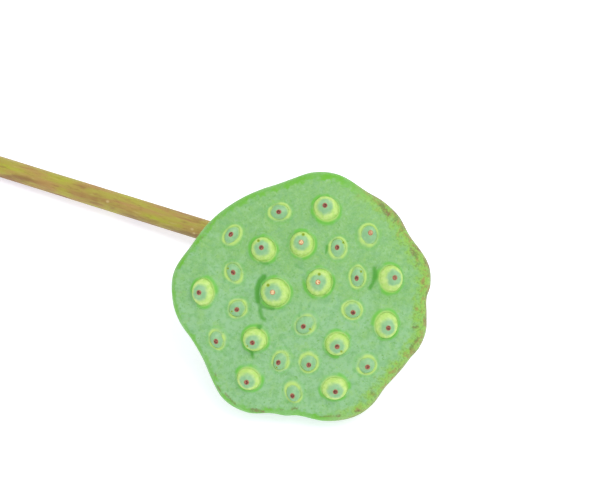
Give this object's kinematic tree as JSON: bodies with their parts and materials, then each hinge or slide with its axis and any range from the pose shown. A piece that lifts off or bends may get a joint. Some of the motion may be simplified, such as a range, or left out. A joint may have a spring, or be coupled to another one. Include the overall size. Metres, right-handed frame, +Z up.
{
  "type": "fresh lotus seed pod on a cut stem",
  "caption": "Fresh green lotus seed pod lying on its side: lobed flat-faced receptacle with loose seeds in pockets, bowl-shaped underside and a bent, cut stem.",
  "frame": {"origin": "middle of the bounding box, on the surface that the pod lies on", "axes": "+Z up. +X runs from the stem's cut end towards the seed head. The seed face looks up and towards -Y, leaning about 35 degrees."},
  "size_m": [0.2382, 0.092, 0.0673],
  "materials": {
    "receptacle_skin": "fresh green plant skin, faintly waxy, yellow-green and brown along part of the rim",
    "seed_skin": "smooth waxy seed skin, blue-green cap over a yellow-green flank",
    "stem_skin": "olive stalk skin with red-brown streaks"
  },
  "bodies": {
    "root": {"receptacle": "receptacle_skin", "stem": "stem_skin", "seed_01": "seed_skin", "seed_02": "seed_skin", "seed_03": "seed_skin", "seed_04": "seed_skin", "seed_05": "seed_skin", "seed_06": "seed_skin", "seed_07": "seed_skin", "seed_08": "seed_skin", "seed_09": "seed_skin", "seed_10": "seed_skin", "seed_11": "seed_skin", "seed_12": "seed_skin", "seed_13": "seed_skin", "seed_14": "seed_skin", "seed_15": "seed_skin", "seed_16": "seed_skin", "seed_17": "seed_skin", "seed_18": "seed_skin", "seed_19": "seed_skin", "seed_20": "seed_skin", "seed_21": "seed_skin", "seed_22": "seed_skin", "seed_23": "seed_skin", "seed_24": "seed_skin", "seed_25": "seed_skin", "seed_26": "seed_skin"}
  },
  "joints": []
}
